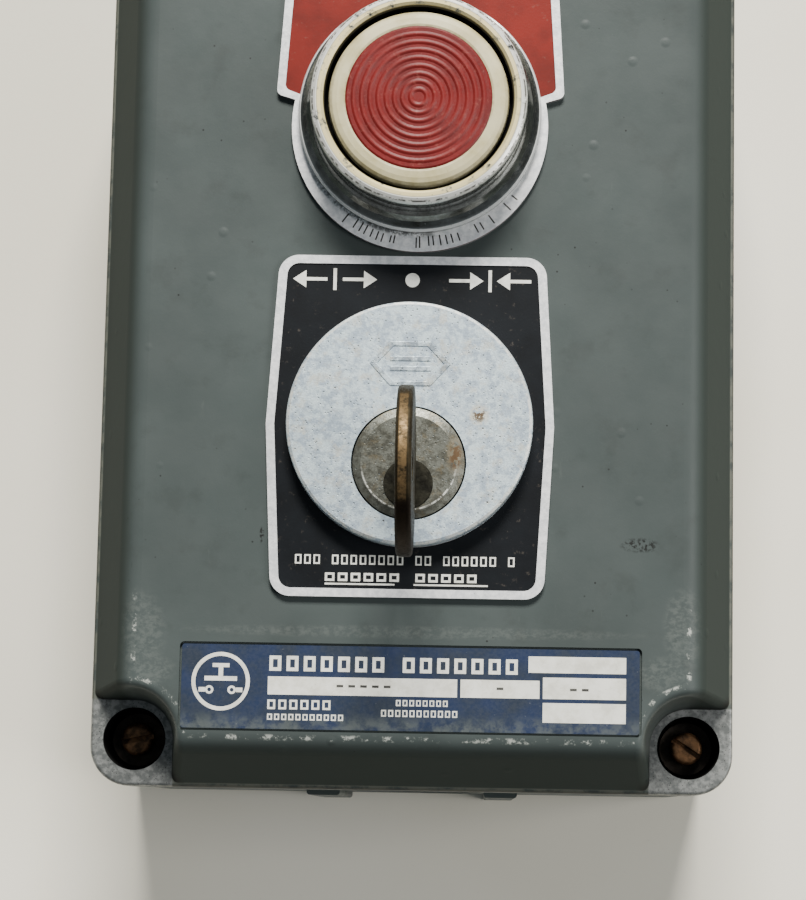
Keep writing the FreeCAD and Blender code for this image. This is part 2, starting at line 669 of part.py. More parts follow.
def pin_springs():
    """Small coils behind the driver pins."""
    springs = []
    for z in pin_heights():
        spring = coil(0.8, 0.3, 0.0, CHAMBER_END - 7.2, 6, 0, 0)
        spring.rotate(V(0, 0, 0), V(1, 0, 0), -90)
        spring.translate(V(LOCK_X, PLUG_Y + 7.1, z))
        springs.append(spring)
    return Part.makeCompound(springs)


def lock_cam():
    """Cam on the plug's tail with the crank pin that moves the contact slide."""
    y = PLUG_Y - CRANK_R
    body = fuse([cyl(CAM_R, CAM_BOTTOM, TAIL_BOTTOM, LOCK_X, PLUG_Y),
                 cyl(CRANK_PIN_R, CRANK_BOTTOM, CAM_BOTTOM + 1, LOCK_X, y)])
    return body.cut(cyl(1.25, CAM_BOTTOM - 1, TAIL_BOTTOM + 1, LOCK_X, PLUG_Y))


def key():
    """Flat key: round bow with a ring hole, and a notched, grooved blade."""
    body = Part.makeCylinder(BOW_R, BOW_T, V(LOCK_X - BOW_T / 2, PLUG_Y, BOW_Z), V(1, 0, 0))
    rims = [e for e in body.Edges if abs(e.Length - 2 * math.pi * BOW_R) < 0.01]
    body = body.makeFillet(0.7, rims)
    neck = block(LOCK_X - KEY_T / 2, LOCK_X + KEY_T / 2, PLUG_Y - 4.6, PLUG_Y + 4.6, KEY_SHOULDER, BOW_Z - 8)
    half = KEY_BLADE_H / 2
    tip = [(-half, KEY_SHOULDER + 1), (-half, KEY_TIP + 2.2), (-half + 2.2, KEY_TIP), (half - 2.2, KEY_TIP),
           (half, KEY_TIP + 2.2), (half, KEY_SHOULDER + 1)]
    loop = [V(LOCK_X - KEY_T / 2, PLUG_Y + y, z) for y, z in tip]
    blade = Part.Face(Part.makePolygon(loop + loop[:1])).extrude(V(KEY_T, 0, 0))
    body = fuse([body, neck, blade])
    depths = (0.9, 1.6, 0.6, 1.3, 1.0)
    for z, deep in zip(pin_heights(), depths):
        cut = [(half + 1, z - deep - 1.4), (half - deep, z - 0.4), (half - deep, z + 0.4),
               (half + 1, z + deep + 1.4)]
        loop = [V(LOCK_X - 5, PLUG_Y + y, h) for y, h in cut]
        body = body.cut(Part.Face(Part.makePolygon(loop + loop[:1])).extrude(V(10, 0, 0)))
    groove = block(LOCK_X + KEY_T / 2 - 0.5, LOCK_X + 5, PLUG_Y - 1.4, PLUG_Y - 0.2, KEY_TIP - 1, KEY_SHOULDER)
    hole = Part.makeCylinder(2.9, 10, V(LOCK_X - 5, PLUG_Y, BOW_Z + 7.2), V(1, 0, 0))
    return body.cut(groove).cut(hole)


def contact_slide():
    """Slide plate driven sideways by the crank pin."""
    width = 2 * (CRANK_PIN_R + SLOT_GAP)
    body = block(LOCK_X - SLIDE_X, LOCK_X + SLIDE_X, PLUG_Y + SLIDE_Y0, PLUG_Y + SLIDE_Y1,
                 SLIDE_Z, SLIDE_Z + SLIDE_T)
    y0 = PLUG_Y - CRANK_R - width / 2
    y1 = PLUG_Y - CRANK_R * math.cos(TURN) + width / 2
    slot = block(LOCK_X - width / 2, LOCK_X + width / 2, y0, y1, SLIDE_Z - 1, SLIDE_Z + SLIDE_T + 1)
    return body.cut(slot)


def slide_bridges():
    """Contact bars on both ends of the slide."""
    mid = PLUG_Y + (SLIDE_Y0 + SLIDE_Y1) / 2
    bars = []
    for sx in (-1, 1):
        xs = sorted((LOCK_X + sx * SLIDE_X, LOCK_X + sx * (SLIDE_X + 1.4)))
        bars.append(block(xs[0], xs[1], mid - 5.0, mid + 5.0, SLIDE_Z + 0.4, SLIDE_Z + SLIDE_T - 0.4))
    return Part.makeCompound(bars)


def key_contact_places():
    """Side and height position of each fixed key contact."""
    mid = PLUG_Y + (SLIDE_Y0 + SLIDE_Y1) / 2
    return [(sx, mid + sy * KEY_CONTACT_PITCH / 2) for sx, sy in CORNERS]


def key_block():
    """Moulded block that carries the key contacts."""
    body = rounded_box(2 * KEY_BLOCK_X, KEY_BLOCK_Y1 - KEY_BLOCK_Y0, 2.0, KEY_BLOCK_BOTTOM, KEY_BLOCK_TOP,
                       LOCK_X, PLUG_Y + (KEY_BLOCK_Y0 + KEY_BLOCK_Y1) / 2)
    for sx in (-1, 1):
        body = body.cut(cyl(1.55, KEY_BLOCK_BOTTOM - 1, 49.0, LOCK_X + sx * POST_X, LOCK_Y + POST_Y))
    for sx, y in key_contact_places():
        body = body.cut(cyl(TERMINAL_R + 0.05, 34.0, KEY_BLOCK_TOP + 1, LOCK_X + sx * 26, y))
    return body


def slide_rails():
    """Two rails on the block that guide the contact slide."""
    sides = ((SLIDE_Y0 - 0.3 - RAIL_W, SLIDE_Y0 - 0.3), (SLIDE_Y1 + 0.3, SLIDE_Y1 + 0.3 + RAIL_W))
    return Part.makeCompound([block(LOCK_X - RAIL_X, LOCK_X + RAIL_X, PLUG_Y + y0, PLUG_Y + y1,
                                    KEY_BLOCK_TOP, SLIDE_Z + SLIDE_T + 0.2) for y0, y1 in sides])


def key_fixed_contacts():
    """Two fixed contacts at each end of the slide's travel."""
    bars = []
    for sx, y in key_contact_places():
        xs = sorted((LOCK_X + sx * KEY_CONTACT_X, LOCK_X + sx * 29))
        foot = block(xs[0], xs[1], y - 1.9, y + 1.9, KEY_BLOCK_TOP, KEY_BLOCK_TOP + 1.2)
        xs = sorted((LOCK_X + sx * KEY_CONTACT_X, LOCK_X + sx * (KEY_CONTACT_X + 1.4)))
        face = block(xs[0], xs[1], y - 1.9, y + 1.9, KEY_BLOCK_TOP, SLIDE_Z + SLIDE_T)
        bars.append(fuse([foot, face]).cut(cyl(TERMINAL_R + 0.05, 40, 50, LOCK_X + sx * 26, y)))
    return Part.makeCompound(bars)


def key_terminal_screws():
    """Wire clamping screws of the key contacts."""
    return Part.makeCompound([
        slotted_screw(1.9, 1.6, TERMINAL_R, KEY_BLOCK_TOP + 1.2, 35.0, LOCK_X + sx * 26, y, 25 * sx)
        for sx, y in key_contact_places()])


def block_posts():
    """Standoffs between the key contact block and the lock casing."""
    return Part.makeCompound([ring(POST_R, 1.55, KEY_BLOCK_TOP, CASING_BOTTOM, LOCK_X + sx * POST_X, LOCK_Y + POST_Y)
                              for sx in (-1, 1)])


def key_block_screws():
    """Long screws through the block and the standoffs into the casing."""
    return Part.makeCompound([
        slotted_screw(2.6, 1.8, 1.5, KEY_BLOCK_BOTTOM, CASING_BOTTOM + 7, LOCK_X + sx * POST_X,
                      LOCK_Y + POST_Y, 40 * sx) for sx in (-1, 1)])


def cam_screw():
    """Screw that holds the cam on the plug."""
    return slotted_screw(2.5, 1.6, 1.2, CAM_BOTTOM, 56.5, LOCK_X, PLUG_Y, 15)


NODES = {
    "base_housing": base_housing,
    "cover": cover,
    "cover_gasket": cover_gasket,
    "cover_screws": cover_screws,
    "cover_washers": cover_washers,
    "conduit_plug": conduit_plug,
    "ground_screw": ground_screw,
    "nameplate": nameplate,
    "stop_legend_plate": stop_legend_plate,
    "ring_nut": ring_nut,
    "stop_bushing": stop_bushing,
    "stop_seal": lambda: panel_seal(BUSH_FLANGE_R, STOP_HOLE_R, STOP_X, STOP_Y),
    "stop_return_spring": stop_return_spring,
    "stop_block": stop_block,
    "stop_fixed_contacts": stop_fixed_contacts,
    "stop_terminal_screws": stop_terminal_screws,
    "stop_block_screws": stop_block_screws,
    "contact_spring": contact_spring,
    "button_shell": button_shell,
    "button_insert": button_insert,
    "button_stem": button_stem,
    "contact_carrier": contact_carrier,
    "contact_bridge": lambda: bridge_bar(0.0),
    "key_legend_plate": key_legend_plate,
    "lock_rose": lock_rose,
    "lock_casing": lock_casing,
    "lock_nut": lock_nut,
    "lock_seal": lambda: panel_seal(LOCK_NUT_R, LOCK_HOLE_R, LOCK_X, LOCK_Y),
    "lock_cylinder": lock_cylinder,
    "driver_pins": lambda: Part.makeCompound(cross_pins(PIN_R, 4.5, 7.0)),
    "pin_springs": pin_springs,
    "lock_plug": lock_plug,
    "key_pins": lambda: Part.makeCompound(cross_pins(PIN_R, 3.2, 4.1)),
    "lock_cam": lock_cam,
    "cam_screw": cam_screw,
    "key": key,
    "contact_slide": contact_slide,
    "slide_bridges": slide_bridges,
    "key_block": key_block,
    "slide_rails": slide_rails,
    "key_fixed_contacts": key_fixed_contacts,
    "key_terminal_screws": key_terminal_screws,
    "block_posts": block_posts,
    "key_block_screws": key_block_screws,
}

os.makedirs("parts", exist_ok=True)
for name, make in NODES.items():
    make().exportStep(f"parts/{name}.step")
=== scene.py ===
"""Looks of the key-operated control station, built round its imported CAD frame. Metres, row frame."""

import math

import bmesh
import bpy
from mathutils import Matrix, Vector


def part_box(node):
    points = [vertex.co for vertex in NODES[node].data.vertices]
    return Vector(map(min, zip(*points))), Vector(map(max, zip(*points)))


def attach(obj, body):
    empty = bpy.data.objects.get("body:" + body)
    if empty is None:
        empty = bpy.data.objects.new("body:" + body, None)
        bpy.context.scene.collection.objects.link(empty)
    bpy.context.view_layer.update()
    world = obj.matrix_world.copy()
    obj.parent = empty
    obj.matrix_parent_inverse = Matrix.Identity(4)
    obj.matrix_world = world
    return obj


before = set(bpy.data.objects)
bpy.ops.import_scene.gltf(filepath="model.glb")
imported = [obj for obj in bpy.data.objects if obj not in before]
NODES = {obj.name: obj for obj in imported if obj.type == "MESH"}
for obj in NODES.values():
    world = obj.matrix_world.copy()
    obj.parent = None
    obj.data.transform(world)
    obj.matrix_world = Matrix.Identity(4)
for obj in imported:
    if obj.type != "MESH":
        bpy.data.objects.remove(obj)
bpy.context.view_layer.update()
MM = 0.001

# places of the operators and heights of the printed faces, read from the frame
PLATE_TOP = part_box("stop_legend_plate")[1].z
NAME_LO, NAME_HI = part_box("nameplate")
RING_LO, RING_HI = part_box("ring_nut")
STOP_C = (RING_LO + RING_HI) / 2
ROSE_LO, ROSE_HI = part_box("lock_rose")
ROSE_C = (ROSE_LO + ROSE_HI) / 2
PLUG_LO, PLUG_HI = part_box("lock_plug")
PLUG_C = (PLUG_LO + PLUG_HI) / 2
CYL_LO, CYL_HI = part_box("lock_cylinder")
CYL_C = (CYL_LO + CYL_HI) / 2
KEY_LO, KEY_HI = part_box("key")
BOW_C = Vector((PLUG_C.x, PLUG_C.y, KEY_HI.z - (KEY_HI.y - KEY_LO.y) / 2))

# shape of the enclosure and the plates, as in the CAD
ETCH_DEEP = 0.2 * MM
FIELD_Z = PLATE_TOP - ETCH_DEEP
HALF_WIDE = 58.4 * MM
HALF_TALL = 89.0 * MM
PANEL_X = 49.4 * MM
PANEL_Y = 80.2 * MM
PANEL_NOTCH_R = 10.5 * MM
CORNER_X = 40.5 * MM
CORNER_Y = 70.5 * MM
CORNER_WALL = 7.3 * MM
LUG_Z = 60.8 * MM
LUG = Vector((50.35 * MM, 80.46 * MM, LUG_Z))
RIDGE_Z = 85.5 * MM

# a height over everything: the painted highlight runs round the whole rim
WHOLE_RIM = 1.0

# print stands this far into and out of its field
SINK = 0.02 * MM
RISE = 0.03 * MM

# fitted view: metres, radians, millimetres of lens on a sensor of this width
CAM_PLACE = (0.01192, -0.09451, 0.50987)
CAM_TURN = (0.12248, 0.01489, 0.01763)
CAM_LENS = 98.547
CAM_SHIFT = (-0.03907, 0.07689)
CAM_SENSOR = 36.0
CAM_RANGE = (0.01, 20)

FLOOR_SIZE = 6
SKY_COLOR = (0.82, 0.92, 1.0, 1)
SKY_STRENGTH = 0.17
# name, place, size, power, colour; each lamp points at LIT_POINT
LIT_POINT = (0, 0, 0.05)
LAMPS = (
    ("key_light", (0.08, 1.75, 1.55), (0.85, 0.65), 128.0, (1.0, 0.97, 0.91)),
    ("fill_light", (1.5, -0.2, 1.4), (0.9, 0.9), 22.0, (1.0, 0.98, 0.95)),
)

# marks on the enamel: centre and half-widths of each, in millimetres
# the first two tables place pale scuffs that also carry a painted highlight
SCUFF_AND_SHEEN_SPOTS = ((-48.5, -62, 4.5, 7), (-46.5, -68.5, 4.5, 2.6), (48.5, -60, 3.5, 7), (45, -68, 4.5, 3))
NAME_SCUFF_AND_SHEEN = (0, -61.2, 38, 1.1)
CHIPS = ((40.5, -45, 3.2, 1.2), (57.2, 1.5, 0.7, 1.2), (54.6, -26.5, 0.7, 0.7), (53.5, 27, 1.3, 0.4),
         (-27, -44, 0.4, 1.6))


def srgb(r, g, b):
    """Linear colour from 0 to 255 display values."""
    def lin(v):
        v /= 255
        return v / 12.92 if v <= 0.04045 else ((v + 0.055) / 1.055) ** 2.4
    return (lin(r), lin(g), lin(b), 1.0)


PAINT_LIGHT = srgb(72, 80, 79)
PAINT_DARK = srgb(65, 72, 71)
PAINT_DIRTY = srgb(55, 60, 58)
PAINT_PALE = srgb(86, 93, 90)
# pale of the scuffs, partly a painted highlight
PAINT_SCUFF_AND_SHEEN = srgb(150, 154, 148)
# painted highlight on the lower panel edges
EDGE_HIGHLIGHT = srgb(206, 210, 202)
LIP_PALE = srgb(112, 114, 104)
# painted shade on the sloping sides
SIDE_SHADE = srgb(36, 45, 42)
# dark of the chips, also used as painted shade below the lip and in the corner creases
CHIP_AND_SHADE_DARK = srgb(22, 21, 19)
LUG_LIGHT = srgb(142, 144, 142)
LUG_DARK = srgb(104, 107, 106)
# painted shade in the screw bores
SCREW_BORE_SHADE = srgb(10, 9, 8)

CHROME_LIGHT = srgb(176, 178, 174)
CHROME_DARK = srgb(128, 129, 124)
# painted dark reflection in the ring's waist
WAIST_DARK_REFLECTION = srgb(66, 65, 58)
LIP_HIGHLIGHT = srgb(236, 236, 230)
LIP_BRASSY = srgb(226, 212, 160)
SEAM_DARK = srgb(34, 31, 20)
FLANGE_HIGHLIGHT = srgb(240, 241, 240)
RING_BORE_SHADE = srgb(14, 13, 11)
CHROME_PIT = srgb(48, 44, 32)

BORDER_LIGHT = srgb(252, 253, 254)
BORDER_DARK = srgb(220, 223, 226)
BORDER_SIDE_SHADE = srgb(90, 92, 90)
LEGEND_RED = srgb(122, 31, 22)
LEGEND_RED_DARK = srgb(98, 26, 19)
LEGEND_BLACK = srgb(20, 23, 27)
LEGEND_BLACK_DARK = srgb(14, 16, 19)
LEGEND_DUST = srgb(130, 120, 108)
LEGEND_CHIP = srgb(40, 30, 26)
# painted shadow of the operator on the border
OPERATOR_SHADOW = srgb(62, 64, 60)

PIT_GREY = srgb(84, 90, 92)
PIT_BROWN = srgb(58, 52, 42)
RIM_HIGHLIGHT = srgb(246, 246, 238)
STAIN_HALO = srgb(214, 206, 178)
STAIN_DULL = srgb(112, 100, 74)
STAIN_BROWN = srgb(84, 62, 36)

KEY_DARK = srgb(34, 30, 20)
KEY_LIGHT = srgb(54, 46, 30)
# painted highlight on the rim of the key's bow
KEY_EDGE_HIGHLIGHT = srgb(104, 85, 58)
KEY_LOW_SHADE = srgb(24, 17, 11)

IVORY_LIGHT = srgb(206, 198, 160)
IVORY_DARK = srgb(184, 174, 130)
# painted shade at the ivory's edges
IVORY_EDGE_SHADE = srgb(120, 104, 72)
IVORY_SPECK = srgb(96, 80, 54)
INSERT_RED = srgb(110, 25, 24)
INSERT_DARK = srgb(94, 22, 21)
INSERT_RIDGE_HIGHLIGHT = srgb(122, 38, 35)
INSERT_DUST = srgb(176, 110, 98)

NAME_BLUE = srgb(33, 46, 74)
NAME_DIRTY = srgb(38, 47, 60)
NAME_LOW = srgb(92, 98, 94)
NAME_RUBBED = srgb(150, 152, 150)
PRINT_RUBBED = srgb(92, 92, 84)
FLOOR_A = srgb(246, 242, 228)
FLOOR_B = srgb(240, 235, 218)
FLOOR_FLECK = srgb(170, 166, 156)


class Finish:
    """A procedural material with short calls for its nodes."""

    def __init__(self, name, rough=0.5, metal=0.0, specular=0.5):
        self.mat = bpy.data.materials.new(name)
        self.mat.use_nodes = True
        self.tree = self.mat.node_tree
        self.bsdf = self.tree.nodes["Principled BSDF"]
        self.bsdf.inputs["Roughness"].default_value = rough
        self.bsdf.inputs["Metallic"].default_value = metal
        self.bsdf.inputs["Specular IOR Level"].default_value = specular
        self.place = self.tree.nodes.new("ShaderNodeTexCoord").outputs["Object"]
        split = self.tree.nodes.new("ShaderNodeSeparateXYZ")
        self.tree.links.new(self.place, split.inputs[0])
        self.x, self.y, self.z = split.outputs

    def put(self, socket, value):
        if isinstance(value, bpy.types.NodeSocket):
            self.tree.links.new(value, socket)
        else:
            socket.default_value = value

    def calc(self, op, a, b=0.0):
        node = self.tree.nodes.new("ShaderNodeMath")
        node.operation = op
        self.put(node.inputs[0], a)
        self.put(node.inputs[1], b)
        return node.outputs[0]

    def warped(self, kind, size_mm, stretch, shift=0.0):
        """Texture node whose features are about size_mm wide."""
        warp = self.tree.nodes.new("ShaderNodeMapping")
        warp.inputs["Scale"].default_value = stretch
        warp.inputs["Location"].default_value = (shift, shift * 0.7, shift * 0.3)
        self.put(warp.inputs["Vector"], self.place)
        node = self.tree.nodes.new(kind)
        self.put(node.inputs["Vector"], warp.outputs[0])
        node.inputs["Scale"].default_value = 1 / (size_mm * MM)
        return node

    def noise(self, size_mm, detail=4.0, rough=0.55, stretch=(1, 1, 1), shift=0.0):
        """Cloudy value about 0.5."""
        node = self.warped("ShaderNodeTexNoise", size_mm, stretch, shift)
        node.inputs["Detail"].default_value = detail
        node.inputs["Roughness"].default_value = rough
        return node.outputs["Fac"]

    def step(self, value, low, high, to=1.0):
        """Smooth rise from 0 to `to` as value goes from low to high; low may be the larger."""
        node = self.tree.nodes.new("ShaderNodeMapRange")
        node.interpolation_type = "SMOOTHSTEP"
        flip = low > high
        for name, number in (("From Min", min(low, high)), ("From Max", max(low, high)),
                             ("To Min", to if flip else 0.0), ("To Max", 0.0 if flip else to)):
            node.inputs[name].default_value = number
        self.put(node.inputs["Value"], value)
        return node.outputs[0]

    def patch(self, low, high, size_mm, detail=4.0, rough=0.55, stretch=(1, 1, 1), shift=0.0, to=1.0):
        """Cloudy patches: 0 where the noise is under low, `to` where it is over high."""
        return self.step(self.noise(size_mm, detail, rough, stretch, shift), low, high, to)

    def dots(self, wide, narrow, size_mm, stretch=(1, 1, 1), to=1.0):
        """Scattered dots, one in each cell, whose outer and inner radius are given in cell widths."""
        cells = self.warped("ShaderNodeTexVoronoi", size_mm, stretch)
        return self.step(cells.outputs["Distance"], wide, narrow, to)

    def near(self, value, at, wide, narrow):
        """1 where value is within narrow of a number, 0 beyond wide."""
        return self.step(self.calc("ABSOLUTE", self.calc("SUBTRACT", value, at)), wide, narrow)

    def times(self, *values):
        total = values[0]
        for value in values[1:]:
            total = self.calc("MULTIPLY", total, value)
        return total

    def most(self, *values):
        total = values[0]
        for value in values[1:]:
            total = self.calc("MAXIMUM", total, value)
        return total

    def square_sum(self, a, b):
        return self.calc("ADD", self.calc("MULTIPLY", a, a), self.calc("MULTIPLY", b, b))

    def around(self, x_mm, y_mm, rx_mm, ry_mm):
        """1 inside an ellipse about a point, fading outside it."""
        dx = self.calc("DIVIDE", self.calc("SUBTRACT", self.x, x_mm * MM), rx_mm * MM)
        dy = self.calc("DIVIDE", self.calc("SUBTRACT", self.y, y_mm * MM), ry_mm * MM)
        return self.step(self.square_sum(dx, dy), 1.6, 0.25)

    def length(self, a, b):
        """Length of a two-part distance, in metres."""
        return self.calc("SQRT", self.square_sum(a, b))

    def radius(self, centre):
        """Distance from an upright axis, in millimetres."""
        dx = self.calc("SUBTRACT", self.x, centre.x)
        dy = self.calc("SUBTRACT", self.y, centre.y)
        return self.calc("MULTIPLY", self.length(dx, dy), 1 / MM)

    def mix(self, fac, a, b):
        """Colour between a and b."""
        node = self.tree.nodes.new("ShaderNodeMix")
        node.data_type = "RGBA"
        self.put(node.inputs[0], fac)
        self.put(node.inputs[6], a)
        self.put(node.inputs[7], b)
        return node.outputs[2]

    def tint(self, color, tone, *masks):
        """Colour with a tone laid over it by the product of the masks."""
        return self.mix(self.times(*masks), color, tone)

    def blend(self, fac, a, b):
        """Number between a and b."""
        node = self.tree.nodes.new("ShaderNodeMix")
        self.put(node.inputs[0], fac)
        self.put(node.inputs[2], a)
        self.put(node.inputs[3], b)
        return node.outputs[0]

    def grainy(self, fine, low, high):
        """Number between low and high that follows a fine noise."""
        return self.blend(self.step(fine, 0.3, 0.7), low, high)

    def bump(self, height, depth_mm, strength=1.0, before=None):
        node = self.tree.nodes.new("ShaderNodeBump")
        node.inputs["Strength"].default_value = strength
        node.inputs["Distance"].default_value = depth_mm * MM
        self.put(node.inputs["Height"], height)
        if before is not None:
            self.put(node.inputs["Normal"], before)
        return node.outputs[0]

    def finish(self, color, rough=None, metal=None, normal=None):
        values = {"Base Color": color, "Roughness": rough, "Metallic": metal, "Normal": normal}
        for name, value in values.items():
            if value is not None:
                self.put(self.bsdf.inputs[name], value)
        return self.mat


def mottled(name, light, dark, rough=(0.35, 0.55), metal=0.0, grain_mm=0.6, grain_deep=0.02, spots=None,
            spot_mm=1.2, cloud_mm=6.0):
    """Cloudy two-tone surface with a fine grain and, where asked, small spots."""
    f = Finish(name, metal=metal)
    color = f.mix(f.patch(0.35, 0.65, cloud_mm, 5, 0.6), dark, light)
    fine = f.noise(grain_mm, 3, 0.6)
    color = f.mix(f.step(fine, 0.62, 0.74, 0.35), color, dark)
    if spots:
        color = f.tint(color, spots, f.dots(0.168, 0.072, spot_mm), f.patch(0.5, 0.6, spot_mm * 5, 2))
    return f.finish(color, f.grainy(fine, *rough), normal=f.bump(fine, grain_deep))


def enamel():
    """Grey-green enamel with orange peel, scuffs that carry a painted highlight, specks, bare lug faces,
    painted highlights on the lower panel edges and painted shade on the sloping sides, below the lip, in
    the corner creases and in the screw bores.
    """
    f = Finish("enamel_grey_green", specular=0.22)
    ax = f.calc("ABSOLUTE", f.x)
    ay = f.calc("ABSOLUTE", f.y)
    from_bore = f.length(f.calc("SUBTRACT", ax, LUG.x), f.calc("SUBTRACT", ay, LUG.y))
    color = f.mix(f.patch(0.3, 0.7, 38, 3, 0.5), PAINT_DARK, PAINT_LIGHT)
    color = f.mix(f.patch(0.52, 0.72, 7, 6, 0.62, shift=2.0, to=0.32), color, PAINT_DIRTY)
    color = f.mix(f.patch(0.66, 0.8, 2.2, 5, 0.6, (1, 0.25, 1), 5.0, 0.4), color, PAINT_PALE)
    # pale, finely speckled patches near the lower corners and along the nameplate: partly scuffs, partly a
    # painted highlight
    scuff_and_sheen = f.most(*[f.around(*scuff) for scuff in SCUFF_AND_SHEEN_SPOTS], f.times(f.around(*NAME_SCUFF_AND_SHEEN), 0.8))
    speckle = f.patch(0.40, 0.62, 1.3, 6, 0.75, (1, 1.4, 1), 1.0)
    color = f.tint(color, PAINT_SCUFF_AND_SHEEN, scuff_and_sheen, speckle, 0.13)
    # painted highlights on the edges of the raised panel at its lower end: sides, corner arcs, end
    side_edge = f.times(f.near(ax, PANEL_X, 0.6 * MM, 0.2 * MM), f.step(ay, CORNER_Y + 1.0 * MM, CORNER_Y))
    arc_edge = f.times(f.near(from_bore, PANEL_NOTCH_R, 0.6 * MM, 0.2 * MM),
                       f.step(ax, LUG.x, LUG.x - 0.5 * MM), f.step(ay, LUG.y, LUG.y - 0.5 * MM))
    end_edge = f.times(f.near(ay, PANEL_Y, 0.7 * MM, 0.2 * MM),
                       f.step(ax, CORNER_X - 0.5 * MM, CORNER_X - 3.5 * MM))
    color = f.tint(color, EDGE_HIGHLIGHT, f.most(side_edge, arc_edge, end_edge),
                   f.step(f.y, -52.0 * MM, -60.0 * MM), f.patch(0.53, 0.63, 1.9, 6, 0.75, shift=2.2),
                   f.step(f.z, 71.2 * MM, 71.8 * MM), 0.6)
    # lip edge worn along the whole seam
    lip = f.times(f.step(f.z, LUG_Z - 0.9 * MM, LUG_Z - 0.45 * MM),
                  f.step(f.z, LUG_Z + 0.35 * MM, LUG_Z + 0.05 * MM))
    color = f.tint(color, LIP_PALE, lip, f.patch(0.36, 0.55, 3.0, 5, 0.65, shift=4.0), 0.8)
    # fine dark specks, short scratches and chips
    specks = f.times(f.dots(0.085, 0.05, 2.6), f.patch(0.5, 0.62, 14, 3, shift=7.0))
    scratches = f.times(f.dots(0.06, 0.03, 3.2, (1, 0.22, 1)), f.patch(0.55, 0.66, 11, 3, shift=9.0))
    chips = f.times(f.most(*[f.around(*chip) for chip in CHIPS]), f.patch(0.47, 0.56, 0.9, 4, 0.7))
    marks = f.most(f.times(specks, 0.75), f.times(scratches, 0.5), f.times(chips, 0.85))
    color = f.mix(marks, color, CHIP_AND_SHADE_DARK)
    # painted shade on the sloping sides and a band of painted shade below the lip
    side = f.times(f.most(f.step(ax, PANEL_X + 0.1 * MM, PANEL_X + 3.1 * MM),
                          f.step(ay, PANEL_Y - 0.2 * MM, PANEL_Y + 3.3 * MM)),
                   f.step(f.z, LUG_Z - 0.2 * MM, LUG_Z + 0.6 * MM))
    color = f.tint(color, SIDE_SHADE, side, 0.95)
    # band of painted shade below the lip
    rim = f.times(f.most(f.step(ax, HALF_WIDE - 0.8 * MM, HALF_WIDE - 0.1 * MM),
                         f.step(ay, HALF_TALL - 0.8 * MM, HALF_TALL - 0.1 * MM)),
                  f.step(f.z, LUG_Z + 0.3 * MM, LUG_Z - 0.4 * MM),
                  f.step(f.z, LUG_Z - 2.6 * MM, LUG_Z - 1.8 * MM))
    color = f.tint(color, CHIP_AND_SHADE_DARK, rim, 0.75)
    # bare lug faces in the cut-away corners
    bare = f.times(f.step(ax, LUG.x - CORNER_WALL, LUG.x - CORNER_WALL + 0.3 * MM),
                   f.step(ay, LUG.y - CORNER_WALL, LUG.y - CORNER_WALL + 0.3 * MM),
                   f.step(f.z, LUG_Z - 2.2 * MM, LUG_Z - 0.5 * MM),
                   f.step(f.z, LUG_Z + 0.25 * MM, LUG_Z + 0.06 * MM))
    lug_metal = f.mix(f.patch(0.4, 0.62, 1.3, 6, 0.7, shift=6.0), LUG_DARK, LUG_LIGHT)
    lug_metal = f.mix(f.dots(0.2, 0.1, 0.55, to=0.8), lug_metal, CHIP_AND_SHADE_DARK)
    color = f.mix(bare, color, lug_metal)
    # painted shade where the corner walls meet the lugs
    crease_shade = f.times(f.step(f.z, LUG_Z + 3.2 * MM, LUG_Z + 0.2 * MM),
                   f.step(f.z, LUG_Z + 0.02 * MM, LUG_Z + 0.10 * MM),
                   f.step(ax, CORNER_X, CORNER_X + 2.0 * MM), f.step(ay, CORNER_Y, CORNER_Y + 2.0 * MM))
    color = f.tint(color, CHIP_AND_SHADE_DARK, crease_shade, 0.75)
    # painted shade in the screw bores
    bore_shade = f.times(f.step(from_bore, 5.78 * MM, 5.72 * MM), f.step(f.z, LUG_Z - 0.05 * MM, LUG_Z - 0.6 * MM))
    color = f.mix(bore_shade, color, SCREW_BORE_SHADE)
    blister = f.times(f.dots(0.13, 0.03, 8.5), f.patch(0.42, 0.55, 30, 2, shift=6.6))
    normal = f.bump(f.noise(2.6, 2, 0.45, shift=8.0), 0.05, 0.5)
    normal = f.bump(blister, 0.12, 0.6, normal)
    normal = f.bump(f.noise(0.35, 3, 0.6), 0.02, 0.5, normal)
    rough = f.blend(f.patch(0.3, 0.7, 9, 5, 0.6, shift=3.3), 0.36, 0.5)
    rough = f.blend(f.most(bore_shade, side), rough, 0.8)
    return f.finish(color, rough, f.times(bare, 0.55), normal)


